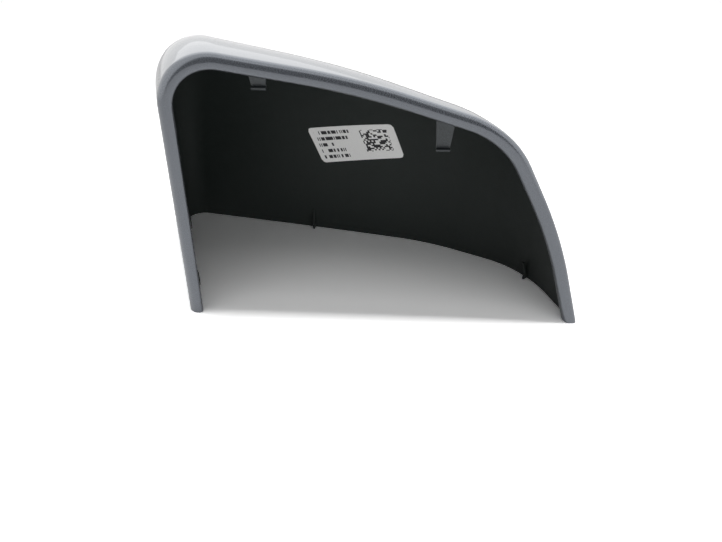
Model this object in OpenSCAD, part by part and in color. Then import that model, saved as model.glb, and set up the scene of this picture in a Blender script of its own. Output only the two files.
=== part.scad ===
// Cover cap of a car's wing mirror, seen from the open mirror-glass side.
// X runs along the rim from the inboard foot to the outboard tip, Y points away
// from the mirror glass and Z points up from the flat lower edge.

/* [Rim outline] */
// Distance between the inboard and the outboard foot of the rim
rim_span = 208; // [195:1:230]
// Height of the point where the inboard leg and the roof line would meet
rim_height = 142.5; // [132:0.5:160]
// Lean of the inboard leg from upright, in degrees
leg_lean = 4.4; // [0:0.2:9]
// Radius of the rim's inboard corner
rim_corner_r = 25; // [14:1:34]
// Distance of the roof line's gentle bend from the inboard foot
brow_x = 92; // [80:1:100]
// Height of the roof line's gentle bend
brow_height = 129.5; // [120:0.5:134]
// Length of the roof line's gentle bend to each side of its middle
brow_reach = 24; // [10:1:30]
// Distance of the shoulder from the outboard foot
shoulder_in = 51; // [46:1:60]
// Height of the shoulder
shoulder_height = 109; // [98:1:115]
// Radius of the shoulder
shoulder_r = 50; // [30:1:65]
// Distance of the bend in the outboard leg from the outboard foot
leg_bend_in = 20; // [16:1:26]
// Height of the bend in the outboard leg
leg_bend_height = 55; // [45:1:65]
// Length of the bend in the outboard leg to each side of its middle
leg_bend_reach = 26; // [10:1:28]

/* [Lower edge outline] */
// Angle between the inboard wall and the rim's normal, in degrees
flare = 20.2; // [12:0.2:26]
// Depth of the point where the inboard and the forward wall would meet
cap_depth = 102; // [96:0.5:112]
// Radius of the corner between the inboard and the forward wall
back_corner_r = 14; // [9:1:24]
// Distance of the forward wall's first bend from the inboard foot
nose_x = 59; // [50:1:70]
// Depth of the forward wall's first bend
nose_depth = 85.6; // [83:0.2:90]
// Length of the forward wall's first bend to each side of its middle
nose_reach = 27; // [10:1:32]
// Distance of the forward wall's second bend from the outboard foot
sweep_in = 77; // [70:1:90]
// Depth of the forward wall's second bend
sweep_depth = 72; // [64:1:78]
// Length of the forward wall's second bend to each side of its middle
sweep_reach = 20; // [10:1:28]
// Distance of the tip bend from the outboard foot
tip_in = 19; // [14:1:26]
// Depth of the tip bend
tip_depth = 46; // [40:1:54]
// Radius of the tip bend
tip_r = 75; // [40:1:90]

/* [Moulded wall] */
// Thickness of the moulded wall
wall = 2.6; // [2:0.1:3.4]
// Width of the rolled rim across its face
rim_face = 6.6; // [5:0.1:8]
// Radius of the rim's outer edge
rim_outer_r = 3.2; // [2:0.1:3.6]
// Radius of the rim's inner edge
rim_inner_r = 2.2; // [1:0.1:2.8]
// Depth behind the rim at which its thickening has run out into the wall
rim_runout = 13; // [9:0.5:20]
// Fullness of the roof's section at the inboard end, where 2 is an ellipse
crown_inboard = 2.6; // [2.2:0.05:3]
// Fullness of the roof's section at the outboard tip, where 2 is an ellipse
crown_outboard = 2; // [1.9:0.05:2.2]

/* [Roof catches] */
// Distance of the inboard roof catch from the inboard foot
catch_a_x = 48.5; // [40:0.5:75]
// Drop of the inboard roof catch below the rim's roof line
catch_a_drop = 17.5; // [12:0.5:24]
// Distance of the outboard roof catch from the inboard foot
catch_b_x = 128.5; // [110:0.5:140]
// Drop of the outboard roof catch below the rim's roof line
catch_b_drop = 26; // [18:0.5:30]
// Depth of the roof catches' front faces behind the rim plane
catch_y = 14; // [13:0.5:22]
// Width of a roof catch at its root
catch_root_w = 9; // [7:0.2:12]
// Width of a roof catch at its nose
catch_tip_w = 6.2; // [4:0.2:8]
// Thickness of a roof catch's blade
catch_t = 2.2; // [1.6:0.1:3]
// Height of the nose at the end of a roof catch
catch_nose_h = 1.6; // [1:0.1:3]
// Reach of the nose in front of the blade
catch_nose_out = 1.2; // [0.6:0.1:2]
// Height of the groove above the nose
catch_groove_h = 0.9; // [0.5:0.1:1.5]
// Depth of the groove into the blade
catch_groove_in = 0.7; // [0.3:0.1:1]

/* [Inboard wall catches] */
// Height of the upper catch's ledge above the lower edge
hook_high_z = 45; // [38:1:70]
// Height of the lower catch's ledge above the lower edge
hook_low_z = 6.5; // [4:0.5:12]
// Height of a catch's ramp above its ledge
hook_h = 15; // [10:0.5:20]
// Height of a catch's upright face above its ledge
hook_face_h = 3; // [1:0.5:6]
// Reach of a catch's ledge from the wall
hook_out = 4.6; // [3:0.1:6]
// Reach of a catch's ramp from the wall at its top
hook_top_out = 2.4; // [1:0.1:3]
// Depth of the catches' near side behind the rim plane
hook_y = 13.5; // [13:0.5:22]
// Length of a catch along the wall
hook_l = 7; // [4:0.5:12]

/* [Locating ribs] */
// Distance of the forward rib from the inboard foot
rib_a_x = 59; // [45:1:80]
// Distance of the outboard rib from the outboard foot
rib_b_in = 21; // [18:1:30]
// Height of a locating rib
rib_h = 14; // [8:0.5:20]
// Height at which a locating rib starts to slope into the wall
rib_face_h = 5.6; // [2:0.2:7]
// Reach of a locating rib from the wall at the lower edge
rib_out = 3; // [2:0.1:5]
// Thickness of a locating rib
rib_t = 1.4; // [1:0.1:2]

/* [Label] */
// Length of the label
label_w = 50.8; // [40:0.1:60]
// Height of the label
label_h = 25.4; // [18:0.1:30]
// Radius of the label's corners
label_r = 2.5; // [1:0.1:4]
// Thickness of the label
label_t = 0.15; // [0.1:0.01:0.3]
// Gap that the glue leaves between the label and the wall
label_gap = 0.05; // [0.03:0.01:0.1]
// Distance of the label's middle from the inboard foot
label_x = 86.5; // [75:0.5:100]
// Height of the label's middle above the lower edge
label_z = 67.5; // [55:0.5:80]
// Turn of the label on the wall, in degrees
label_turn = 14; // [0:1:20]

/* [Hidden] */

paint = [0.42, 0.46, 0.53];
paper = [0.9, 0.9, 0.88];

// Corner points of the two outlines as [across, up or back, radius, reach].
// A corner is rounded by its radius, and a gentle bend by its reach.
rim_corners = [
    [0, 0, 0, 0],
    [rim_height * tan(leg_lean), rim_height, rim_corner_r, 0],
    [brow_x, brow_height, 0, brow_reach],
    [rim_span - shoulder_in, shoulder_height, shoulder_r, 0],
    [rim_span - leg_bend_in, leg_bend_height, 0, leg_bend_reach],
    [rim_span, 0, 0, 0]
];
edge_corners = [
    [0, 0, 0, 0],
    [-cap_depth * tan(flare), cap_depth, back_corner_r, 0],
    [nose_x, nose_depth, 0, nose_reach],
    [rim_span - sweep_in, sweep_depth, 0, sweep_reach],
    [rim_span - tip_in, tip_depth, tip_r, 0],
    [rim_span, 0, 0, 0]
];

// Steps along each straight run and each bend, the same on both outlines
run_steps = [12, 5, 3, 2, 7];
bend_steps = [9, 4, 8, 5];
// Share of a run that one bend may take, so that bends never overlap
bend_share = 0.49;
least_turn = 0.01;

function xy(p) = [p[0], p[1]];
function unit(v) = v / norm(v);
// Normal that points into the opening, which lies to the right of the path
function right_of(d) = [d[1], -d[0]];
function run_dir(c, i) = unit(xy(c[i + 1]) - xy(c[i]));
function run_len(c, i) = norm(xy(c[i + 1]) - xy(c[i]));
// Angle of a bend, positive to the right, and never quite zero
function turn_at(c, i) =
    let (a = run_dir(c, i - 1), b = run_dir(c, i), w = atan2(a[1] * b[0] - a[0] * b[1], a * b))
    abs(w) < least_turn ? least_turn : w;
function tangent_len(c, i) =
    i == 0 || i == len(c) - 1 ? 0 :
    min(max(c[i][3], c[i][2] * abs(tan(turn_at(c, i) / 2))),
        bend_share * min(run_len(c, i - 1), run_len(c, i)));

// A sample is [point, inset], where inset is the step inward for 1 mm of wall
function run_samples(c, i, foot_step) =
    let (
        d = run_dir(c, i),
        n = right_of(d),
        a = xy(c[i]) + d * tangent_len(c, i),
        b = xy(c[i + 1]) - d * tangent_len(c, i + 1),
        k = run_steps[i],
        first = i == 0,
        last = i == len(c) - 2
    )
    [for (j = [0 : k - (last ? 0 : 1)])
        let (
            s = first ? pow(j / k, 2) : last ? 1 - pow(1 - j / k, 2) : j / k,
            near_foot = first ? 1 - s : last ? s : 0,
            level = [first ? foot_step : -foot_step, 0]
        )
        [a + (b - a) * s, n * (1 - near_foot) + level * near_foot]
    ];
function bend_samples(c, i) =
    let (
        turn = turn_at(c, i),
        d = run_dir(c, i - 1),
        r = tangent_len(c, i) / tan(turn / 2),
        start = xy(c[i]) - d * tangent_len(c, i),
        centre = start + right_of(d) * r,
        k = bend_steps[i - 1]
    )
    [for (j = [0 : k - 1])
        let (w = turn * j / k, n = right_of(d) * cos(w) - d * sin(w))
        [centre - n * r, n]
    ];
function outline(c, foot_step) =
    [for (i = [0 : len(c) - 2])
        each concat(i == 0 ? [] : bend_samples(c, i), run_samples(c, i, foot_step))
    ];

// Level step at the feet, long enough for whichever wall leans most
foot_step = 1 / cos(max(flare, leg_lean, atan(leg_bend_in / leg_bend_height)));
rim = outline(rim_corners, foot_step);
edge = outline(edge_corners, foot_step);
last_ring = len(rim) - 1;
blend_end = run_steps[0] + bend_steps[0];

// Point on the foot line from which a section springs
function spring(p) = p[0] + tan(flare) * p[1];
function fullness(i) =
    let (x0 = rim[blend_end][0][0], q = (rim[i][0][0] - x0) / (rim_span - x0))
    crown_inboard + (crown_outboard - crown_inboard) * max(0, min(1, q));

// Outer face of ring i at depth y behind the rim plane
function share_up(i, y) =
    let (n = fullness(i), s = min(1, y / edge[i][0][1]))
    pow(max(0, 1 - pow(s, n)), 1 / n);
function outer_at(i, y) =
    let (
        r = rim[i][0],
        l = edge[i][0],
        o = spring(l),
        s = min(1, y / l[1]),
        c = share_up(i, y)
    )
    [o + c * (r[0] - o) + s * (l[0] - o), s * l[1], c * r[1]];
// Step from the outer face straight into the wall, for 1 mm of wall
function inward_at(i, y) =
    let (
        r = rim[i][1],
        l = edge[i][1],
        o = spring(l),
        s = min(1, y / edge[i][0][1]),
        c = share_up(i, y)
    )
    [o + c * (r[0] - o) + s * (l[0] - o), s * l[1], c * r[1]];

// Depth of the rim's round edges and of its thickening at depth y
function round_off(y, r) = y >= r ? 0 : r - sqrt(r * r - (r - y) * (r - y));
function thickness(y) =
    y >= rim_runout ? wall :
    y <= rim_inner_r ? rim_face :
    wall + (rim_face - wall) * (1 + cos(180 * (y - rim_inner_r) / (rim_runout - rim_inner_r))) / 2;

round_steps = 3;
runout_steps = 4;
wall_steps = 15;
level_count = round_steps + runout_steps + wall_steps;
rim_levels = round_steps + runout_steps;
// Depth behind the rim plane of level j, measured on ring i, for an edge radius r
function rim_level(j, r) =
    j <= round_steps ? r * (1 - cos(90 * j / round_steps)) :
    r + (rim_runout - r) * (j - round_steps) / runout_steps;
function level(i, j, r) =
    let (
        depth = edge[i][0][1],
        n = fullness(i),
        y0 = min(rim_level(rim_levels, r), depth * rim_levels / level_count),
        w0 = asin(pow(y0 / depth, n / 2)),
        w = w0 + (90 - w0) * (j - rim_levels) / wall_steps
    )
    j <= rim_levels ? min(rim_level(j, r), depth * j / level_count) :
    j == level_count ? depth :
    depth * pow(sin(w), 2 / n);
function outer_point(i, j) =
    let (y = level(i, j, rim_outer_r))
    outer_at(i, y) + inward_at(i, y) * round_off(y, rim_outer_r);
function inner_point(i, j) =
    let (y = level(i, j, rim_inner_r))
    outer_at(i, y) + inward_at(i, y) * (thickness(y) - round_off(y, rim_inner_r));

// Rings between the feet, each from the lower edge over the rim and back down inside
ring_size = 2 * (level_count + 1);
rings = [for (i = [1 : last_ring - 1])
    concat(
        [for (j = [level_count : -1 : 0]) outer_point(i, j)],
        [for (j = [0 : level_count]) inner_point(i, j)]
    )
];
ring_total = len(rings);
foot_in = [foot_step * rim_outer_r, 0, 0];
foot_out = [foot_step * (rim_face - rim_inner_r), 0, 0];
tip = [rim_span, 0, 0];
shell_points = concat([foot_in, foot_out], [for (r = rings) each r], [tip - foot_in, tip - foot_out]);
function at(i, k) = 2 + i * ring_size + k % ring_size;
function is_outer(k) = k % ring_size <= level_count;
tip_at = 2 + ring_total * ring_size;
shell_faces = concat(
    [for (i = [0 : ring_total - 2], k = [0 : ring_size - 1])
        each [
            [at(i, k), at(i + 1, k + 1), at(i, k + 1)],
            [at(i, k), at(i + 1, k), at(i + 1, k + 1)]
        ]
    ],
    [for (k = [0 : ring_size - 1])
        let (here = is_outer(k) ? 0 : 1, next = is_outer(k + 1) ? 0 : 1)
        each here == next ? [[here, at(0, k), at(0, k + 1)]] :
            [[here, at(0, k + 1), next], [here, at(0, k), at(0, k + 1)]]
    ],
    [for (k = [0 : ring_size - 1])
        let (
            i = ring_total - 1,
            here = tip_at + (is_outer(k) ? 0 : 1),
            next = tip_at + (is_outer(k + 1) ? 0 : 1)
        )
        each here == next ? [[here, at(i, k + 1), at(i, k)]] :
            [[here, at(i, k + 1), at(i, k)], [here, next, at(i, k + 1)]]
    ]
);

// The wall's inner face as [x, y, z] between rings, looked up at a place and height
function inner_row(f) =
    let (i = floor(f), g = f - i, first = level_count + 1 + rim_levels)
    [for (k = [first : ring_size - 1]) rings[i - 1][k] * (1 - g) + rings[i][k] * g];
function row_at(row, z) =
    [lookup(z, [for (p = row) [p[2], p[0]]]), lookup(z, [for (p = row) [p[2], p[1]]]), z];
function inner_face(x, z, low = blend_end, high = last_ring - 2, tries = 16) =
    let (f = (low + high) / 2, p = row_at(inner_row(f), z))
    tries == 0 ? p :
    p[0] < x ? inner_face(x, z, f, high, tries - 1) : inner_face(x, z, low, f, tries - 1);
// Normal of the inner face, taken over a short stretch to each side
normal_reach = 4;
function inner_normal(x, z) =
    let (
        across = inner_face(x + normal_reach, z) - inner_face(x - normal_reach, z),
        up = inner_face(x, z + normal_reach) - inner_face(x, z - normal_reach)
    )
    unit(cross(across, up));

// The part's origin stands under the middle of its bounding box
x_low = min([for (p = edge) p[0][0]]);
x_high = max([for (r = rings) max([for (p = r) p[0]])]);
y_high = max([for (p = edge) p[0][1]]);
origin = [(x_low + x_high) / 2, y_high / 2, 0];

// Depth to which the roots of catches and ribs run into the wall
root_sink = wall / 2;

module shell_wall() {
    polyhedron(points = shell_points, faces = shell_faces, convexity = 6);
}

// Height of the rim's outer line, and of the roof behind it, above a place
function roof_line(x) = lookup(x, [for (s = rim) if (s[0][1] > shoulder_height) s[0]]);
roof_rings = [for (i = [blend_end : last_ring - 1]) [spring(edge[i][0]), i]];
function roof_height(x, y) =
    let (f = lookup(x + tan(flare) * y, roof_rings), i = floor(f), g = f - i)
    outer_at(i, y)[2] * (1 - g) + outer_at(i + 1, y)[2] * g;

// A tapered blade under the roof, with a groove and a nose at its end
module roof_catch(x, drop) {
    end = roof_line(x) - drop;
    neck = end + catch_nose_h + catch_groove_h;
    back = catch_y + catch_t;
    groove = catch_y + catch_groove_in;
    nose = catch_y - catch_nose_out;
    root = catch_root_w / 2;
    half_tip = catch_tip_w / 2;
    left = roof_height(x - root, back) - root_sink;
    right = roof_height(x + root, back) - root_sink;
    intersection() {
        translate([x, back, 0]) rotate([90, 0, 0]) linear_extrude(back - nose)
            polygon([
                [-root, left],
                [root, right],
                [half_tip, neck],
                [half_tip, end],
                [-half_tip, end],
                [-half_tip, neck]
            ]);
        translate([x - root, 0, 0]) rotate([90, 0, 90]) linear_extrude(catch_root_w)
            polygon([
                [back, left],
                [catch_y, left],
                [catch_y, neck],
                [groove, neck],
                [groove, end + catch_nose_h],
                [nose, end + catch_nose_h],
                [nose, end + catch_nose_h / 2],
                [catch_y, end],
                [back, end]
            ]);
    }
}

// A ramp on the inboard wall that ends below in a ledge
module wall_catch(z) {
    foot_x = foot_step * wall - hook_y * tan(flare);
    translate([foot_x + z * tan(leg_lean), hook_y, z])
        rotate([0, 0, flare])
            rotate([90, 0, 0]) translate([0, 0, -hook_l]) linear_extrude(hook_l)
                polygon([
                    [-root_sink, 0],
                    [hook_out, 0],
                    [hook_out, hook_face_h],
                    [hook_top_out, hook_h],
                    [-root_sink, hook_h]
                ]);
}

// A thin upright rib that dies into the wall at its top
module locating_rib(x) {
    foot = inner_face(x, 0);
    rise = norm(xy(foot) - xy(inner_face(x, rib_h)));
    n = inner_normal(x, rib_h / 2);
    translate([foot[0], foot[1], 0])
        rotate([0, 0, atan2(n[0], -n[1])])
            translate([rib_t / 2, 0, 0]) rotate([90, 0, -90]) linear_extrude(rib_t)
                polygon([
                    [-root_sink, 0],
                    [rib_out, 0],
                    [rib_out, rib_face_h],
                    [rise, rib_h],
                    [rise - root_sink, rib_h]
                ]);
}

module cap_shell() {
    color(paint) translate(-origin) {
        shell_wall();
        roof_catch(catch_a_x, catch_a_drop);
        roof_catch(catch_b_x, catch_b_drop);
        wall_catch(hook_high_z);
        wall_catch(hook_low_z);
        locating_rib(rib_a_x);
        locating_rib(rim_span - rib_b_in);
    }
}

// Columns of the label, closer together where its corners are round
label_corner_steps = 4;
label_middle_steps = 10;
label_rows = 7;
label_straight = label_w - 2 * label_r;
label_arc = [for (j = [0 : label_corner_steps])
    let (w = 90 * j / label_corner_steps)
    [label_w / 2 - label_r * (1 - cos(w)), label_r * (1 - sin(w))]
];
label_columns = concat(
    [for (s = label_arc) [-s[0], s[1]]],
    [for (j = [1 : label_middle_steps - 1]) [label_straight * (j / label_middle_steps - 0.5), 0]],
    [for (j = [label_corner_steps : -1 : 0]) label_arc[j]]
);
label_n = inner_normal(label_x, label_z);
label_level = unit(cross([0, 0, 1], label_n));
label_rise = cross(label_n, label_level);
label_across = label_level * cos(label_turn) + label_rise * sin(label_turn);
label_up = label_rise * cos(label_turn) - label_level * sin(label_turn);
function label_point(a, b, out) =
    let (
        q = label_across * a + label_up * b,
        p = inner_face(label_x + q[0], label_z + q[2])
    )
    p + label_n * out;
module label() {
    cols = len(label_columns);
    layer = cols * label_rows;
    points = [for (out = [label_gap, label_gap + label_t], c = label_columns, r = [0 : label_rows - 1])
        label_point(c[0], (label_h / 2 - c[1]) * (2 * r / (label_rows - 1) - 1), out)
    ];
    function id(k, c, r) = k * layer + c * label_rows + r;
    sheet = [for (c = [0 : cols - 2], r = [0 : label_rows - 2])
        each [
            [id(0, c, r), id(0, c + 1, r), id(0, c + 1, r + 1)],
            [id(0, c, r), id(0, c + 1, r + 1), id(0, c, r + 1)],
            [id(1, c, r), id(1, c + 1, r + 1), id(1, c + 1, r)],
            [id(1, c, r), id(1, c, r + 1), id(1, c + 1, r + 1)]
        ]
    ];
    rim_ids = concat(
        [for (c = [0 : cols - 1]) [c, 0]],
        [for (r = [1 : label_rows - 1]) [cols - 1, r]],
        [for (c = [cols - 2 : -1 : 0]) [c, label_rows - 1]],
        [for (r = [label_rows - 2 : -1 : 1]) [0, r]]
    );
    edge_faces = [for (k = [0 : len(rim_ids) - 1])
        let (a = rim_ids[k], b = rim_ids[(k + 1) % len(rim_ids)])
        each [
            [id(0, a[0], a[1]), id(1, a[0], a[1]), id(1, b[0], b[1])],
            [id(0, a[0], a[1]), id(1, b[0], b[1]), id(0, b[0], b[1])]
        ]
    ];
    color(paper) translate(-origin)
        polyhedron(points = points, faces = concat(sheet, edge_faces), convexity = 4);
}

cap_shell();
label();
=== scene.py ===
# Cover cap of a car's wing mirror: painted shell with a bare moulded inside, and its label.
import math

import bpy
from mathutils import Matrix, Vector
from mathutils.kdtree import KDTree


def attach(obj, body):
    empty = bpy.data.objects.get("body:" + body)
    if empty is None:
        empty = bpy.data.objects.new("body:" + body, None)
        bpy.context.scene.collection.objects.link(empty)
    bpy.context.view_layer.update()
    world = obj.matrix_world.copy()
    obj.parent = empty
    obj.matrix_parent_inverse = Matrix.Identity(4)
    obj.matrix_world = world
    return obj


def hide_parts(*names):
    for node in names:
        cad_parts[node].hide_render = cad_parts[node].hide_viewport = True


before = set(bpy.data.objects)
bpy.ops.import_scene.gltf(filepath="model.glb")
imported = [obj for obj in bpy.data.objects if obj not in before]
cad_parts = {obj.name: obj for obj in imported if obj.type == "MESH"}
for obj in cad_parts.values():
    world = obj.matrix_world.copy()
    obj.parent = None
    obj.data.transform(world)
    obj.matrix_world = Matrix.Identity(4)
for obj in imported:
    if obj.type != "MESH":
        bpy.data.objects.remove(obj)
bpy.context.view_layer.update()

# The cap's shape is worked out in millimetres, with X along the rim from its inboard foot,
# Y away from the mirror glass and Z up, and it is carried into the frame at the end.
MM = 0.001
DEG = math.pi / 180

# Rim outline
RIM_SPAN = 208
RIM_HEIGHT = 142.5
LEG_LEAN = 4.4
RIM_CORNER_R = 25
BROW_X = 92
BROW_HEIGHT = 129.5
BROW_REACH = 24
SHOULDER_IN = 51
SHOULDER_HEIGHT = 109
SHOULDER_R = 50
LEG_BEND_IN = 20
LEG_BEND_HEIGHT = 55
LEG_BEND_REACH = 26

# Lower edge outline
FLARE = 20.2
CAP_DEPTH = 102
BACK_CORNER_R = 14
NOSE_X = 59
NOSE_DEPTH = 85.6
NOSE_REACH = 27
SWEEP_IN = 77
SWEEP_DEPTH = 72
SWEEP_REACH = 20
TIP_IN = 19
TIP_DEPTH = 46
TIP_R = 75

# Moulded wall
WALL = 2.6
RIM_FACE = 6.6
RIM_OUTER_R = 3.2
RIM_INNER_R = 2.2
RIM_RUNOUT = 13
CROWN_INBOARD = 2.6
CROWN_OUTBOARD = 2
EDGE_ROUND = 0.35

# Paint inside the rim: full to one depth behind the rim plane, gone at the other
PAINT_DEPTH = 5
OVERSPRAY_DEPTH = 15

# Density of the shell's mesh
RUN_STEPS = [40, 20, 14, 10, 28]
BEND_STEPS = [36, 20, 32, 22]
ROUND_STEPS = 8
RUNOUT_STEPS = 10
WALL_STEPS = 34
LEVELS = ROUND_STEPS + RUNOUT_STEPS + WALL_STEPS
RIM_LEVELS = ROUND_STEPS + RUNOUT_STEPS
BEND_SHARE = 0.49
LEAST_TURN = 0.01 * DEG


def tan_deg(angle):
    return math.tan(angle * DEG)


# Corners of the two outlines as (point, radius, reach)
RIM_CORNERS = [
    (Vector((0, 0)), 0, 0),
    (Vector((RIM_HEIGHT * tan_deg(LEG_LEAN), RIM_HEIGHT)), RIM_CORNER_R, 0),
    (Vector((BROW_X, BROW_HEIGHT)), 0, BROW_REACH),
    (Vector((RIM_SPAN - SHOULDER_IN, SHOULDER_HEIGHT)), SHOULDER_R, 0),
    (Vector((RIM_SPAN - LEG_BEND_IN, LEG_BEND_HEIGHT)), 0, LEG_BEND_REACH),
    (Vector((RIM_SPAN, 0)), 0, 0),
]
EDGE_CORNERS = [
    (Vector((0, 0)), 0, 0),
    (Vector((-CAP_DEPTH * tan_deg(FLARE), CAP_DEPTH)), BACK_CORNER_R, 0),
    (Vector((NOSE_X, NOSE_DEPTH)), 0, NOSE_REACH),
    (Vector((RIM_SPAN - SWEEP_IN, SWEEP_DEPTH)), 0, SWEEP_REACH),
    (Vector((RIM_SPAN - TIP_IN, TIP_DEPTH)), TIP_R, 0),
    (Vector((RIM_SPAN, 0)), 0, 0),
]


def run_dir(corners, i):
    return (corners[i + 1][0] - corners[i][0]).normalized()


def run_len(corners, i):
    return (corners[i + 1][0] - corners[i][0]).length


def right_of(d):
    """Normal that points into the opening, which lies to the right of the path."""
    return Vector((d.y, -d.x))


def turn_at(corners, i):
    """Angle of a bend, positive to the right, and never quite zero."""
    a = run_dir(corners, i - 1)
    b = run_dir(corners, i)
    turn = math.atan2(a.y * b.x - a.x * b.y, a.dot(b))
    return LEAST_TURN if abs(turn) < LEAST_TURN else turn


def tangent_len(corners, i):
    if i in (0, len(corners) - 1):
        return 0
    _, radius, reach = corners[i]
    wanted = max(reach, radius * abs(math.tan(turn_at(corners, i) / 2)))
    return min(wanted, BEND_SHARE * min(run_len(corners, i - 1), run_len(corners, i)))


def run_samples(corners, i, foot_step):
    """Points along a straight run, each with the step inward for 1 mm of wall."""
    d = run_dir(corners, i)
    n = right_of(d)
    a = corners[i][0] + d * tangent_len(corners, i)
    b = corners[i + 1][0] - d * tangent_len(corners, i + 1)
    steps = RUN_STEPS[i]
    first = i == 0
    last = i == len(corners) - 2
    samples = []
    for j in range(steps + (1 if last else 0)):
        s = j / steps
        if first:
            s = s**2
        elif last:
            s = 1 - (1 - s) ** 2
        near_foot = 1 - s if first else s if last else 0
        level = Vector((foot_step if first else -foot_step, 0))
        samples.append((a + (b - a) * s, n * (1 - near_foot) + level * near_foot))
    return samples


def bend_samples(corners, i):
    turn = turn_at(corners, i)
    d = run_dir(corners, i - 1)
    radius = tangent_len(corners, i) / math.tan(turn / 2)
    start = corners[i][0] - d * tangent_len(corners, i)
    centre = start + right_of(d) * radius
    steps = BEND_STEPS[i - 1]
    samples = []
    for j in range(steps):
        w = turn * j / steps
        n = right_of(d) * math.cos(w) - d * math.sin(w)
        samples.append((centre - n * radius, n))
    return samples


def outline(corners, foot_step):
    samples = []
    for i in range(len(corners) - 1):
        if i > 0:
            samples += bend_samples(corners, i)
        samples += run_samples(corners, i, foot_step)
    return samples


MOST_LEAN = max(FLARE, LEG_LEAN, math.atan(LEG_BEND_IN / LEG_BEND_HEIGHT) / DEG)
FOOT_STEP = 1 / math.cos(MOST_LEAN * DEG)
RIM = outline(RIM_CORNERS, FOOT_STEP)
EDGE = outline(EDGE_CORNERS, FOOT_STEP)
LAST = len(RIM) - 1
BLEND_END = RUN_STEPS[0] + BEND_STEPS[0]


def spring(p):
    """Place on the foot line from which a section springs."""
    return p.x + tan_deg(FLARE) * p.y


def fullness(i):
    x0 = RIM[BLEND_END][0].x
    share = (RIM[i][0].x - x0) / (RIM_SPAN - x0)
    return CROWN_INBOARD + (CROWN_OUTBOARD - CROWN_INBOARD) * max(0, min(1, share))


def section(i, y, r, l):
    """Blend of a rim value r and an edge value l on section i, at depth y."""
    n = fullness(i)
    o = spring(l)
    s = min(1, y / EDGE[i][0].y)
    c = max(0, 1 - s**n) ** (1 / n)
    return Vector((o + c * (r.x - o) + s * (l.x - o), s * l.y, c * r.y))


def outer_at(i, y):
    return section(i, y, RIM[i][0], EDGE[i][0])


def inward_at(i, y):
    return section(i, y, RIM[i][1], EDGE[i][1])


def round_off(y, r):
    return 0 if y >= r else r - math.sqrt(r * r - (r - y) ** 2)


def thickness(y):
    if y >= RIM_RUNOUT:
        return WALL
    if y <= RIM_INNER_R:
        return RIM_FACE
    q = (y - RIM_INNER_R) / (RIM_RUNOUT - RIM_INNER_R)
    return WALL + (RIM_FACE - WALL) * (1 + math.cos(math.pi * q)) / 2


def rim_level(j, r):
    if j <= ROUND_STEPS:
        return r * (1 - math.cos(math.pi / 2 * j / ROUND_STEPS))
    return r + (RIM_RUNOUT - r) * (j - ROUND_STEPS) / RUNOUT_STEPS


def level(i, j, r):
    """Depth behind the rim plane of level j on section i, for a rim edge of radius r."""
    depth = EDGE[i][0].y
    n = fullness(i)
    if j <= RIM_LEVELS:
        return min(rim_level(j, r), depth * j / LEVELS)
    if j == LEVELS:
        return depth
    y0 = min(rim_level(RIM_LEVELS, r), depth * RIM_LEVELS / LEVELS)
    w0 = math.asin((y0 / depth) ** (n / 2))
    w = w0 + (math.pi / 2 - w0) * (j - RIM_LEVELS) / WALL_STEPS
    return depth * math.sin(w) ** (2 / n)


def outer_point(i, j):
    y = level(i, j, RIM_OUTER_R)
    return outer_at(i, y) + inward_at(i, y) * round_off(y, RIM_OUTER_R)


def inner_point(i, j):
    y = level(i, j, RIM_INNER_R)
    return outer_at(i, y) + inward_at(i, y) * (thickness(y) - round_off(y, RIM_INNER_R))


# Sections between the feet, each from the lower edge over the rim and back down inside
RING_SIZE = 2 * (LEVELS + 1)
RINGS = [
    [outer_point(i, j) for j in range(LEVELS, -1, -1)] + [inner_point(i, j) for j in range(LEVELS + 1)]
    for i in range(1, LAST)
]

# The frame's origin stands under the middle of the cap's bounding box
X_LOW = min(p.x for p, _ in EDGE)
X_HIGH = max(p.x for ring in RINGS for p in ring)
Y_HIGH = max(p.y for p, _ in EDGE)
ORIGIN = Vector(((X_LOW + X_HIGH) / 2, Y_HIGH / 2, 0))


def in_frame(p):
    return (Vector(p) - ORIGIN) * MM


def deselect_all():
    bpy.ops.object.select_all(action="DESELECT")


def add_grid(name, columns, rows, place):
    """A grid whose corners are carried to place(column, row), counted from zero."""
    deselect_all()
    bpy.ops.mesh.primitive_grid_add(x_subdivisions=columns, y_subdivisions=rows, size=2)
    sheet = bpy.context.object
    sheet.name = name
    for v in sheet.data.vertices:
        column = round((v.co.x + 1) / 2 * columns)
        row = round((v.co.y + 1) / 2 * rows)
        v.co = in_frame(place(column, row))
    return sheet


def edit(piece, *steps):
    """Runs edit-mode operators on the whole mesh of a piece."""
    deselect_all()
    piece.select_set(True)
    bpy.context.view_layer.objects.active = piece
    bpy.ops.object.mode_set(mode="EDIT")
    bpy.ops.mesh.select_all(action="SELECT")
    for step in steps:
        step()
    bpy.ops.object.mode_set(mode="OBJECT")


def apply_modifier(piece, kind, **settings):
    deselect_all()
    piece.select_set(True)
    bpy.context.view_layer.objects.active = piece
    modifier = piece.modifiers.new(kind.lower(), kind)
    for key, value in settings.items():
        setattr(modifier, key, value)
    bpy.ops.object.modifier_apply(modifier=modifier.name)


def weld():
    bpy.ops.mesh.remove_doubles(threshold=1e-6)


def outward():
    bpy.ops.mesh.normals_make_consistent(inside=False)


# The shell

FOOT_IN = Vector((FOOT_STEP * RIM_OUTER_R, 0, 0))
FOOT_OUT = Vector((FOOT_STEP * (RIM_FACE - RIM_INNER_R), 0, 0))
TIP = Vector((RIM_SPAN, 0, 0))


def shell_place(column, row):
    """Point of the closed section number column, row steps along it."""
    k = row % RING_SIZE
    outside = k <= LEVELS
    if column == 0:
        return FOOT_IN if outside else FOOT_OUT
    if column == len(RINGS) + 1:
        return TIP - (FOOT_IN if outside else FOOT_OUT)
    return RINGS[column - 1][k]


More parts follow.
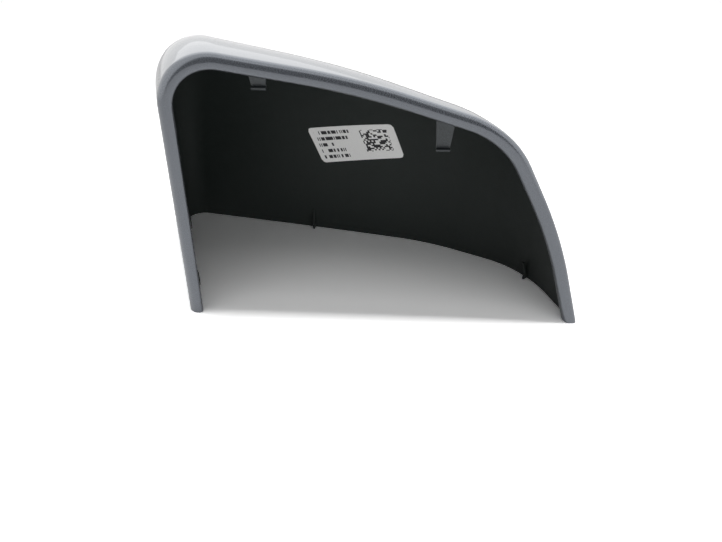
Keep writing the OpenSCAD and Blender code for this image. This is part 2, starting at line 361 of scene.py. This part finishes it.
def paint_share(column, row):
    """Share of paint at a point of the shell: 1 outside and on the rim, 0 deep inside."""
    k = row % RING_SIZE
    if k <= LEVELS:
        return 1
    y = shell_place(column, row).y
    return max(0, min(1, (OVERSPRAY_DEPTH - y) / (OVERSPRAY_DEPTH - PAINT_DEPTH)))


def make_shell():
    columns = len(RINGS) + 1
    shell = add_grid("cap_shell_moulding", columns, RING_SIZE, shell_place)
    share = shell.data.attributes.new("paint_share", "FLOAT", "POINT")
    for v in shell.data.vertices:
        column, row = v.index % (columns + 1), v.index // (columns + 1)
        share.data[v.index].value = paint_share(column, row)
    edit(shell, weld, lambda: bpy.ops.mesh.dissolve_degenerate(threshold=1e-6), outward)
    apply_modifier(
        shell, "BEVEL", width=EDGE_ROUND * MM, segments=3, limit_method="ANGLE", angle_limit=40 * DEG
    )
    return shell


shell = make_shell()


def wall_at(x, z):
    """Point and normal of the forward wall's inner face, looked up from the hollow."""
    start = in_frame((x, 1, z))
    _, hit, normal, _ = shell.ray_cast(start, Vector((0, 1, 0)))
    return hit / MM + ORIGIN, normal


def roof_at(x, y):
    """Height of the roof's inner face over a place in the hollow."""
    start = in_frame((x, y, 1))
    _, hit, _, _ = shell.ray_cast(start, Vector((0, 0, 1)))
    return hit.z / MM


def inboard_at(y, z):
    """Distance of the inboard wall's inner face along X, at a depth and height."""
    start = in_frame((30, y, z))
    _, hit, _, _ = shell.ray_cast(start, Vector((-1, 0, 0)))
    return hit.x / MM + ORIGIN.x


def rim_line(x):
    """Height of the rim's outer line over a place."""
    line = [p for p, _ in RIM if p.y > SHOULDER_HEIGHT]
    after = next(k for k, p in enumerate(line) if p.x > x)
    a, b = line[after - 1], line[after]
    return a.y + (b.y - a.y) * (x - a.x) / (b.x - a.x)


def mesh_point(p):
    return Vector(p) * MM


def draw_out(name, sections):
    """A bar that starts as a rectangle and is extruded along Z through (centre, size x, size y) sections."""
    deselect_all()
    (c0, x0, y0), (c1, _, _) = sections[0], sections[1]
    low, high = in_frame(c0), in_frame(c1)
    bpy.ops.mesh.primitive_plane_add(size=1, location=low)
    bar = bpy.context.object
    bar.name = name
    bar.scale = (x0 * MM, y0 * MM, 1)
    bpy.ops.object.transform_apply(location=True, rotation=True, scale=True)
    bpy.ops.object.mode_set(mode="EDIT")
    bpy.ops.mesh.select_all(action="SELECT")
    for (c0, x0, y0), (c1, x1, y1) in zip(sections, sections[1:]):
        step = mesh_point(Vector(c1) - Vector(c0))
        bpy.ops.mesh.extrude_region_move(TRANSFORM_OT_translate={"value": step})
        bpy.ops.transform.resize(value=(x1 / x0, y1 / y0, 1), center_override=in_frame(c1))
    bpy.ops.mesh.select_all(action="SELECT")
    bpy.ops.mesh.normals_make_consistent(inside=False)
    bpy.ops.object.mode_set(mode="OBJECT")
    return bar


# Roof catches
CATCH_A_X = 48.5
CATCH_A_DROP = 17.5
CATCH_B_X = 128.5
CATCH_B_DROP = 26
CATCH_Y = 14
CATCH_ROOT_W = 9
CATCH_TIP_W = 6.2
CATCH_T = 2.2
CATCH_NOSE_H = 1.6
CATCH_NOSE_OUT = 1.2
CATCH_GROOVE_H = 0.9
CATCH_GROOVE_IN = 0.7
ROOT_SINK = 1.3
ROOT_FLARE = 1.2
MOULDED_ROUND = 0.25


def make_roof_catch(name, x, drop):
    end = rim_line(x) - drop
    neck = end + CATCH_NOSE_H + CATCH_GROOVE_H
    back = CATCH_Y + CATCH_T
    half = CATCH_ROOT_W / 2
    left, right = roof_at(x - half, back), roof_at(x + half, back)
    roof = min(left, right)
    blade = (CATCH_Y + back) / 2
    groove = (CATCH_Y + CATCH_GROOVE_IN + back) / 2
    nose = (CATCH_Y - CATCH_NOSE_OUT + back) / 2
    flared = CATCH_T + ROOT_FLARE
    slim = CATCH_T - CATCH_GROOVE_IN
    full = CATCH_T + CATCH_NOSE_OUT
    catch = draw_out(name, [
        ((x, blade, roof + ROOT_SINK), CATCH_ROOT_W + 2 * ROOT_FLARE, flared),
        ((x, blade, roof), CATCH_ROOT_W + 2 * ROOT_FLARE, flared),
        ((x, blade, roof - ROOT_FLARE), CATCH_ROOT_W, CATCH_T),
        ((x, blade, neck), CATCH_TIP_W, CATCH_T),
        ((x, groove, neck - 0.05), CATCH_TIP_W, slim),
        ((x, groove, end + CATCH_NOSE_H + 0.05), CATCH_TIP_W, slim),
        ((x, nose, end + CATCH_NOSE_H), CATCH_TIP_W, full),
        ((x, nose, end + CATCH_NOSE_H / 2), CATCH_TIP_W, full),
        ((x, blade, end), CATCH_TIP_W, CATCH_T),
    ])
    slope = (right - left) / CATCH_ROOT_W
    for v in catch.data.vertices:
        if v.co.z / MM > roof - ROOT_FLARE - 0.1:
            v.co.z += slope * (v.co.x - in_frame((x, 0, 0)).x) + abs(slope) * half * MM
    return catch


# Catches on the inboard wall
HOOK_HIGH_Z = 45
HOOK_LOW_Z = 6.5
HOOK_H = 15
HOOK_FACE_H = 3
HOOK_OUT = 4.6
HOOK_TOP_OUT = 2.4
HOOK_Y = 13.5
HOOK_L = 7


def make_wall_catch(name, z):
    """A ramp that leans with the inboard wall and ends below in a ledge."""
    y = HOOK_Y + HOOK_L / 2
    wall = inboard_at(y, z)
    top = inboard_at(y, z + HOOK_H)

    def slab(height, out):
        x = wall + (top - wall) * height / HOOK_H
        return (x + (out - ROOT_SINK) / 2, y, z + height), out + ROOT_SINK, HOOK_L

    catch = draw_out(name, [slab(0, HOOK_OUT), slab(HOOK_FACE_H, HOOK_OUT), slab(HOOK_H, HOOK_TOP_OUT)])
    pivot = in_frame((wall, y, z))
    edit(catch, lambda: bpy.ops.transform.rotate(value=-FLARE * DEG, orient_axis="Z", center_override=pivot))
    return catch


# Locating ribs
RIB_A_X = 59
RIB_B_IN = 21
RIB_H = 14
RIB_FACE_H = 5.6
RIB_OUT = 3
RIB_T = 1.4
RIB_RUNOUT = 0.1
LEAST_HEIGHT = 0.5


def make_rib(name, x):
    """A rib square to the wall, whose root follows the wall's lean so that it stays inside it."""
    foot, normal = wall_at(x, LEAST_HEIGHT)

    def lean(height):
        return (foot - wall_at(x, max(LEAST_HEIGHT, height))[0]).xy.length

    def slab(height, out):
        back = ROOT_SINK - lean(height)
        return (x, foot.y + (back - out) / 2, height), RIB_T, out + back

    end = slab(RIB_H, lean(RIB_H) + RIB_RUNOUT)
    rib = draw_out(name, [slab(0, RIB_OUT), slab(RIB_FACE_H, RIB_OUT), end])
    turn = math.atan2(normal.x, -normal.y)
    pivot = in_frame((x, foot.y, 0))
    edit(rib, lambda: bpy.ops.transform.rotate(value=-turn, orient_axis="Z", center_override=pivot))
    return rib


def unite(piece, stray):
    """Joins a moulded piece to the shell, and gives its own surface its share of stray paint."""
    shares = [value.value for value in shell.data.attributes["paint_share"].data]
    before = KDTree(len(shares))
    for v in shell.data.vertices:
        before.insert(v.co, v.index)
    before.balance()
    apply_modifier(shell, "BOOLEAN", operation="UNION", solver="EXACT", object=piece)
    bpy.data.objects.remove(piece)
    share = shell.data.attributes["paint_share"].data
    for v in shell.data.vertices:
        _, index, distance = before.find(v.co)
        share[v.index].value = shares[index] if distance < SAME_PLACE else stray


SAME_PLACE = 1e-6
STRAY_ON_CATCHES = 0.42
moulded_on = [
    (make_roof_catch("roof_catch_inboard", CATCH_A_X, CATCH_A_DROP), STRAY_ON_CATCHES),
    (make_roof_catch("roof_catch_outboard", CATCH_B_X, CATCH_B_DROP), STRAY_ON_CATCHES),
    (make_wall_catch("wall_catch_high", HOOK_HIGH_Z), 0),
    (make_wall_catch("wall_catch_low", HOOK_LOW_Z), 0),
    (make_rib("locating_rib_forward", RIB_A_X), 0),
    (make_rib("locating_rib_outboard", RIM_SPAN - RIB_B_IN), 0),
]
for piece, stray in moulded_on:
    apply_modifier(
        piece, "BEVEL", width=MOULDED_ROUND * MM, segments=2, limit_method="ANGLE", angle_limit=25 * DEG
    )
    unite(piece, stray)


# The label
LABEL_W = 50.8
LABEL_H = 25.4
LABEL_R = 2.5
LABEL_T = 0.15
LABEL_GAP = 0.05
LABEL_X = 86.5
LABEL_Z = 67.5
LABEL_TURN = 14
LABEL_COLUMNS = 60
LABEL_ROWS = 30


def label_axes():
    """Directions along and up the label, and the wall's normal behind it."""
    reach = 4
    left, right = wall_at(LABEL_X - reach, LABEL_Z)[0], wall_at(LABEL_X + reach, LABEL_Z)[0]
    low, high = wall_at(LABEL_X, LABEL_Z - reach)[0], wall_at(LABEL_X, LABEL_Z + reach)[0]
    normal = (right - left).cross(high - low).normalized()
    level = Vector((0, 0, 1)).cross(normal).normalized()
    rise = normal.cross(level)
    c, s = math.cos(LABEL_TURN * DEG), math.sin(LABEL_TURN * DEG)
    return level * c + rise * s, rise * c - level * s, normal


def make_label():
    along, up, normal = label_axes()
    half_w, half_h = LABEL_W / 2, LABEL_H / 2

    def rounded(column):
        """Distance along the label and its half height there, less at the round corners."""
        a = (2 * column / LABEL_COLUMNS - 1) * half_w
        past = max(0, abs(a) - (half_w - LABEL_R))
        return a, half_h - LABEL_R + math.sqrt(max(0, LABEL_R**2 - past**2))

    def place(column, row):
        a, half = rounded(column)
        q = along * a + up * half * (2 * row / LABEL_ROWS - 1)
        p, _ = wall_at(LABEL_X + q.x, LABEL_Z + q.z)
        return p + normal * LABEL_GAP

    label = add_grid("label_film", LABEL_COLUMNS, LABEL_ROWS, place)
    print_map = label.data.uv_layers[0]
    print_map.name = "print_map"
    for loop in label.data.loops:
        v = label.data.vertices[loop.vertex_index]
        column, row = v.index % (LABEL_COLUMNS + 1), v.index // (LABEL_COLUMNS + 1)
        a, half = rounded(column)
        print_height = half * (2 * row / LABEL_ROWS - 1)
        print_map.data[loop.index].uv = (a / LABEL_W + 0.5, print_height / LABEL_H + 0.5)
    edit(label, weld)
    if label.data.polygons[0].normal.dot(normal) < 0:
        edit(label, bpy.ops.mesh.flip_normals)
    apply_modifier(label, "SOLIDIFY", thickness=LABEL_T * MM, offset=1, use_even_offset=True)
    return label


label = make_label()


# Materials

def new_material(name):
    material = bpy.data.materials.new(name)
    material.use_nodes = True
    nodes, links = material.node_tree.nodes, material.node_tree.links
    return material, nodes, links, nodes["Principled BSDF"]


def calculator(nodes, links):
    """A function that adds a Math node, fed with sockets or numbers, and gives its output."""

    def calc(operation, *values):
        node = nodes.new("ShaderNodeMath")
        node.operation = operation
        for socket, value in zip(node.inputs, values):
            if isinstance(value, bpy.types.NodeSocket):
                links.new(value, socket)
            else:
                socket.default_value = value
        return node.outputs[0]

    return calc


def add_mix(nodes, links, kind, factor, low, high):
    """Blend of two values or colours, each a socket or a constant."""
    mix = nodes.new("ShaderNodeMix")
    mix.data_type = kind
    sockets = [socket for socket in mix.inputs if socket.enabled]
    for socket, value in zip(sockets, (factor, low, high)):
        if isinstance(value, bpy.types.NodeSocket):
            links.new(value, socket)
        else:
            socket.default_value = value
    return next(socket for socket in mix.outputs if socket.enabled)


def add_smooth_step(nodes, links, value, low, high):
    step = nodes.new("ShaderNodeMapRange")
    step.interpolation_type = "SMOOTHSTEP"
    step.inputs["From Min"].default_value = low
    step.inputs["From Max"].default_value = high
    links.new(value, step.inputs["Value"])
    return step.outputs[0]


def make_surface_grain():
    """Fine unevenness that paint, bare plastic and label film share, each at its own scale."""
    group = bpy.data.node_groups.new("surface_grain", "ShaderNodeTree")
    group.interface.new_socket("Place", in_out="INPUT", socket_type="NodeSocketVector")
    group.interface.new_socket("Wave Scale", in_out="INPUT", socket_type="NodeSocketFloat")
    group.interface.new_socket("Fleck Scale", in_out="INPUT", socket_type="NodeSocketFloat")
    group.interface.new_socket("Height", in_out="OUTPUT", socket_type="NodeSocketFloat")
    group.interface.new_socket("Fleck", in_out="OUTPUT", socket_type="NodeSocketFloat")
    nodes, links = group.nodes, group.links
    given = nodes.new("NodeGroupInput")
    result = nodes.new("NodeGroupOutput")
    wave = nodes.new("ShaderNodeTexNoise")
    wave.inputs["Detail"].default_value = 3
    wave.inputs["Roughness"].default_value = 0.55
    fleck = nodes.new("ShaderNodeTexVoronoi")
    for texture, scale in ((wave, "Wave Scale"), (fleck, "Fleck Scale")):
        links.new(given.outputs["Place"], texture.inputs["Vector"])
        links.new(given.outputs[scale], texture.inputs["Scale"])
    tone = nodes.new("ShaderNodeSeparateColor")
    links.new(fleck.outputs["Color"], tone.inputs["Color"])
    links.new(wave.outputs["Fac"], result.inputs["Height"])
    links.new(tone.outputs["Red"], result.inputs["Fleck"])
    return group


surface_grain = make_surface_grain()


def add_grain(nodes, links, place, wave_scale, fleck_scale):
    grain = nodes.new("ShaderNodeGroup")
    grain.node_tree = surface_grain
    grain.inputs["Wave Scale"].default_value = wave_scale
    grain.inputs["Fleck Scale"].default_value = fleck_scale
    links.new(place, grain.inputs["Place"])
    return grain.outputs["Height"], grain.outputs["Fleck"]


def add_bump(nodes, links, height, shader, strength, depth):
    bump = nodes.new("ShaderNodeBump")
    bump.inputs["Strength"].default_value = strength
    bump.inputs["Distance"].default_value = depth * MM
    links.new(height, bump.inputs["Height"])
    links.new(bump.outputs["Normal"], shader.inputs["Normal"])


# Linear colours
BARE_DARK = (0.014, 0.0178, 0.0166, 1)
BARE_LIGHT = (0.019, 0.0238, 0.0222, 1)
PAINT_DARK = (0.172, 0.187, 0.211, 1)
PAINT_LIGHT = (0.196, 0.212, 0.239, 1)

# Features of the finishes, as many to the metre
SPATTER_SCALE = 3200
PEEL_SCALE = 420
FLAKE_SCALE = 7000
SATIN_SCALE = 1500
SATIN_FLECK_SCALE = 2400

# Edge of the paint: how far the spatter shifts it, and the shares at which it starts and is full
SPATTER_DEPTH = 0.35
SPATTER_LOW = 0.45
SPATTER_HIGH = 0.95
# Height of the paint's orange peel beside the plastic's grain
PEEL_SHARE = 0.08


def cap_material():
    """Metallic paint with clear coat, and bare satin plastic where the paint's share is nought."""
    material, nodes, links, shader = new_material("painted_and_bare_plastic")
    calc = calculator(nodes, links)
    place = nodes.new("ShaderNodeTexCoord").outputs["Object"]

    share = nodes.new("ShaderNodeAttribute")
    share.attribute_name = "paint_share"
    spatter = nodes.new("ShaderNodeTexNoise")
    spatter.inputs["Scale"].default_value = SPATTER_SCALE
    spatter.inputs["Detail"].default_value = 4
    links.new(place, spatter.inputs["Vector"])
    reach = calc("MULTIPLY_ADD", spatter.outputs["Fac"], SPATTER_DEPTH, share.outputs["Fac"])
    painted = add_smooth_step(nodes, links, reach, SPATTER_LOW, SPATTER_HIGH)

    peel, flake = add_grain(nodes, links, place, PEEL_SCALE, FLAKE_SCALE)
    satin, fleck = add_grain(nodes, links, place, SATIN_SCALE, SATIN_FLECK_SCALE)
    bare_colour = add_mix(nodes, links, "RGBA", fleck, BARE_DARK, BARE_LIGHT)
    paint_colour = add_mix(nodes, links, "RGBA", flake, PAINT_DARK, PAINT_LIGHT)
    bare_roughness = calc("MULTIPLY_ADD", satin, 0.16, 0.34)
    paint_roughness = calc("MULTIPLY_ADD", flake, 0.03, 0.25)

    def feed(kind, bare, paint, socket):
        links.new(add_mix(nodes, links, kind, painted, bare, paint), shader.inputs[socket])

    feed("RGBA", bare_colour, paint_colour, "Base Color")
    feed("FLOAT", 0.0, 0.8, "Metallic")
    feed("FLOAT", bare_roughness, paint_roughness, "Roughness")
    feed("FLOAT", 0.0, 1.0, "Coat Weight")
    shader.inputs["Coat Roughness"].default_value = 0.03
    height = add_mix(nodes, links, "FLOAT", painted, satin, calc("MULTIPLY", peel, PEEL_SHARE))
    add_bump(nodes, links, height, shader, 0.35, 0.05)
    return material


# Print on the label, as shares of its width and height
LINE_LEFT = 0.055
LINE_TOP = 0.93
LINE_PITCH = 0.172
LINES = 5
LINE_INK = 0.27
LINE_SHORTEST = 0.16
LINE_SPREAD = 0.33
MARKS_TO_WIDTH = 90
PATCH_MIDDLE = (0.755, 0.545)
PATCH_HALF = (0.158, 0.316)
BLOCKS = 15
LINE_SEED = 31.7
PATCH_SEED = 8.3
FILM = (0.88, 0.88, 0.87, 1)
FILM_SHADED = (0.82, 0.82, 0.815, 1)
INK = (0.028, 0.028, 0.03, 1)


def label_material():
    """White film with generic print: five lines of random marks and a patch of random blocks."""
    material, nodes, links, shader = new_material("printed_label_film")
    calc = calculator(nodes, links)
    print_map = nodes.new("ShaderNodeUVMap")
    print_map.uv_map = "print_map"
    split = nodes.new("ShaderNodeSeparateXYZ")
    links.new(print_map.outputs["UV"], split.inputs["Vector"])
    u, v = split.outputs["X"], split.outputs["Y"]

    def chance(x, y, seed):
        """Random value from 0 to 1 for a pair of whole numbers."""
        pair = nodes.new("ShaderNodeCombineXYZ")
        for socket, value in zip(pair.inputs, (x, y, seed)):
            if isinstance(value, bpy.types.NodeSocket):
                links.new(value, socket)
            else:
                socket.default_value = value
        noise = nodes.new("ShaderNodeTexWhiteNoise")
        links.new(pair.outputs[0], noise.inputs["Vector"])
        return noise.outputs["Value"]

    down = calc("DIVIDE", calc("SUBTRACT", LINE_TOP, v), LINE_PITCH)
    line = calc("FLOOR", down)
    in_line = calc("COMPARE", calc("FRACT", down), 0.5, LINE_INK)
    in_block = calc("COMPARE", line, (LINES - 1) / 2, LINES / 2)
    length = calc("MULTIPLY_ADD", chance(line, 0.0, LINE_SEED), LINE_SPREAD, LINE_SHORTEST)
    after_start = calc("GREATER_THAN", u, LINE_LEFT)
    before_end = calc("LESS_THAN", calc("SUBTRACT", u, LINE_LEFT), length)
    mark = calc("FLOOR", calc("MULTIPLY", u, MARKS_TO_WIDTH))
    marked = calc("GREATER_THAN", chance(mark, line, LINE_SEED), 0.36)
    lines = calc("MULTIPLY", calc("MULTIPLY", in_line, in_block), calc("MULTIPLY", after_start, before_end))
    lines = calc("MULTIPLY", lines, marked)

    across = calc("MULTIPLY", u, BLOCKS / (2 * PATCH_HALF[0]))
    along = calc("MULTIPLY", v, BLOCKS / (2 * PATCH_HALF[1]))
    filled = calc("GREATER_THAN", chance(calc("FLOOR", across), calc("FLOOR", along), PATCH_SEED), 0.5)
    in_patch = calc(
        "MULTIPLY",
        calc("COMPARE", u, PATCH_MIDDLE[0], PATCH_HALF[0]),
        calc("COMPARE", v, PATCH_MIDDLE[1], PATCH_HALF[1]),
    )
    ink = calc("MAXIMUM", lines, calc("MULTIPLY", filled, in_patch))

    place = nodes.new("ShaderNodeTexCoord").outputs["Object"]
    height, fibre = add_grain(nodes, links, place, 900, 3000)
    film = add_mix(nodes, links, "RGBA", fibre, FILM, FILM_SHADED)
    links.new(add_mix(nodes, links, "RGBA", ink, film, INK), shader.inputs["Base Color"])
    links.new(calc("MULTIPLY_ADD", height, 0.15, 0.4), shader.inputs["Roughness"])
    add_bump(nodes, links, height, shader, 0.3, 0.03)
    return material


shell.data.materials.append(cap_material())
label.data.materials.append(label_material())
for piece, node in ((shell, "cap_shell"), (label, "label")):
    deselect_all()
    piece.select_set(True)
    bpy.context.view_layer.objects.active = piece
    bpy.ops.object.shade_smooth_by_angle(angle=32 * DEG)
    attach(piece, "root")
    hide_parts(node)


# Stage

CAMERA_GAIN = 1.75
OVERHEAD_RADIANCE = 70
BACK_RADIANCE = 0.5
FRONT_RADIANCE = 1.2
FILL_RADIANCE = 12
SKY_LIGHT = 0.22
FLOOR_RADIUS = 0.75
DIM_DISTANCE = 1.1
DIM_WIDTH = 2.2
DIM_HEIGHT = 2.2
DIM_BELOW = 0.2
DIM_RADIANCE = 0.16


def rays_that_show(nodes, links, kinds):
    """1 for the kinds of ray that show the background, and 0 for those that light the cap."""
    path = nodes.new("ShaderNodeLightPath")
    total = path.outputs[kinds[0]]
    for kind in kinds[1:]:
        add = nodes.new("ShaderNodeMath")
        add.operation = "ADD"
        add.use_clamp = True
        links.new(total, add.inputs[0])
        links.new(path.outputs[kind], add.inputs[1])
        total = add.outputs[0]
    return total


def floor_material():
    """White floor that the camera sees a little brighter than it lights the cap."""
    material, nodes, links, shader = new_material("white_floor")
    shown = rays_that_show(nodes, links, ["Is Camera Ray"])
    mix = nodes.new("ShaderNodeMix")
    mix.data_type = "RGBA"
    mix.clamp_result = False
    links.new(shown, mix.inputs[0])
    mix.inputs[6].default_value = (0.9, 0.9, 0.9, 1)
    mix.inputs[7].default_value = (CAMERA_GAIN, CAMERA_GAIN, CAMERA_GAIN, 1)
    links.new(mix.outputs[2], shader.inputs["Base Color"])
    shader.inputs["Roughness"].default_value = 1
    shader.inputs["Specular IOR Level"].default_value = 0
    return material


deselect_all()
bpy.ops.mesh.primitive_circle_add(vertices=96, radius=FLOOR_RADIUS, fill_type="NGON", location=(0, 0, 0))
floor = bpy.context.object
floor.name = "floor"
floor.data.materials.append(floor_material())


def add_softbox(name, place, aim, width, height, radiance):
    data = bpy.data.lights.new(name, "AREA")
    data.shape = "RECTANGLE"
    data.size = width
    data.size_y = height
    data.energy = radiance * math.pi * width * height
    lamp = bpy.data.objects.new(name, data)
    bpy.context.scene.collection.objects.link(lamp)
    lamp.location = place
    lamp.rotation_euler = (Vector(aim) - Vector(place)).to_track_quat("-Z", "Y").to_euler()
    return lamp


overhead_lamp = add_softbox("overhead_lamp", (0, -0.035, 1.5), (0, 0, 0), 0.5, 0.11, OVERHEAD_RADIANCE)
overhead_lamp.visible_glossy = False
back_softbox = add_softbox("back_softbox", (0, 2.2, 1.9), (0, 0, 0.1), 7, 3.4, BACK_RADIANCE)
back_softbox.visible_diffuse = False
front_softbox = add_softbox("front_softbox", (0, -0.45, 1.5), (0, 0, 0), 1.6, 0.5, FRONT_RADIANCE)
front_softbox.visible_glossy = False
fill_lamp = add_softbox("fill_lamp", (0.9, -1.75, 0.13), (0, 0, 0.06), 1.6, 0.2, FILL_RADIANCE)
fill_lamp.visible_glossy = False


def add_dim_side():
    """The dim side of the room, which only the paint's reflections show."""
    deselect_all()
    middle = (0, -DIM_DISTANCE, DIM_HEIGHT / 2 - DIM_BELOW)
    bpy.ops.mesh.primitive_plane_add(size=1, location=middle, rotation=(90 * DEG, 0, 0))
    side = bpy.context.object
    side.name = "dim_side"
    side.scale = (DIM_WIDTH, DIM_HEIGHT, 1)
    bpy.ops.object.transform_apply(location=True, rotation=True, scale=True)
    material, nodes, links, shader = new_material("dim_grey")
    shader.inputs["Base Color"].default_value = (0, 0, 0, 1)
    shader.inputs["Specular IOR Level"].default_value = 0
    shader.inputs["Emission Color"].default_value = (1, 1.02, 1.05, 1)
    shader.inputs["Emission Strength"].default_value = DIM_RADIANCE
    side.data.materials.append(material)
    side.visible_camera = False
    side.visible_diffuse = False
    side.visible_shadow = False


add_dim_side()

world = bpy.data.worlds.new("studio")
bpy.context.scene.world = world
world.use_nodes = True
nodes, links = world.node_tree.nodes, world.node_tree.links
shown = rays_that_show(nodes, links, ["Is Camera Ray", "Is Glossy Ray", "Is Transmission Ray"])
strength = nodes.new("ShaderNodeMapRange")
strength.inputs["To Min"].default_value = SKY_LIGHT
strength.inputs["To Max"].default_value = 1
links.new(shown, strength.inputs["Value"])
links.new(strength.outputs[0], nodes["Background"].inputs["Strength"])
nodes["Background"].inputs["Color"].default_value = (1, 1, 1, 1)

camera_data = bpy.data.cameras.new("camera")
camera_data.lens = 27.92
camera = bpy.data.objects.new("camera", camera_data)
bpy.context.scene.collection.objects.link(camera)
camera.location = in_frame((101.2, -214.5, 212.7))
camera.rotation_euler = (50 * DEG, 0, 2.37 * DEG)
bpy.context.scene.camera = camera
bpy.context.scene.view_settings.view_transform = "Standard"
